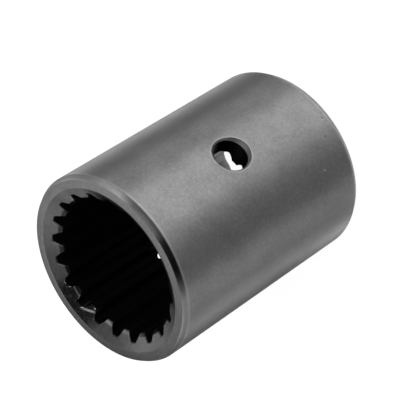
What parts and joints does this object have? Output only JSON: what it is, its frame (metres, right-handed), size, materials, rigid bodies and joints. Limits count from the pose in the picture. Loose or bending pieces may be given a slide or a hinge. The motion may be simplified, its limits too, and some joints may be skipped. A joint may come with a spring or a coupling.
{
  "type": "splined shaft coupling sleeve",
  "caption": "Plain round steel sleeve with an internal involute spline from end to end, countersunk mouths and a countersunk cross hole through both walls for a locking pin.",
  "frame": {"origin": "centre of the lower end face, on the sleeve's axis", "axes": "+Z along the sleeve's axis to the other end, +X along the cross hole"},
  "size_m": [0.056, 0.056, 0.073],
  "materials": {
    "dark_steel": "satin, dark as oiled or blackened steel, fine turning lines on the end faces"
  },
  "bodies": {
    "root": {"coupling_sleeve": "dark_steel"}
  },
  "joints": []
}
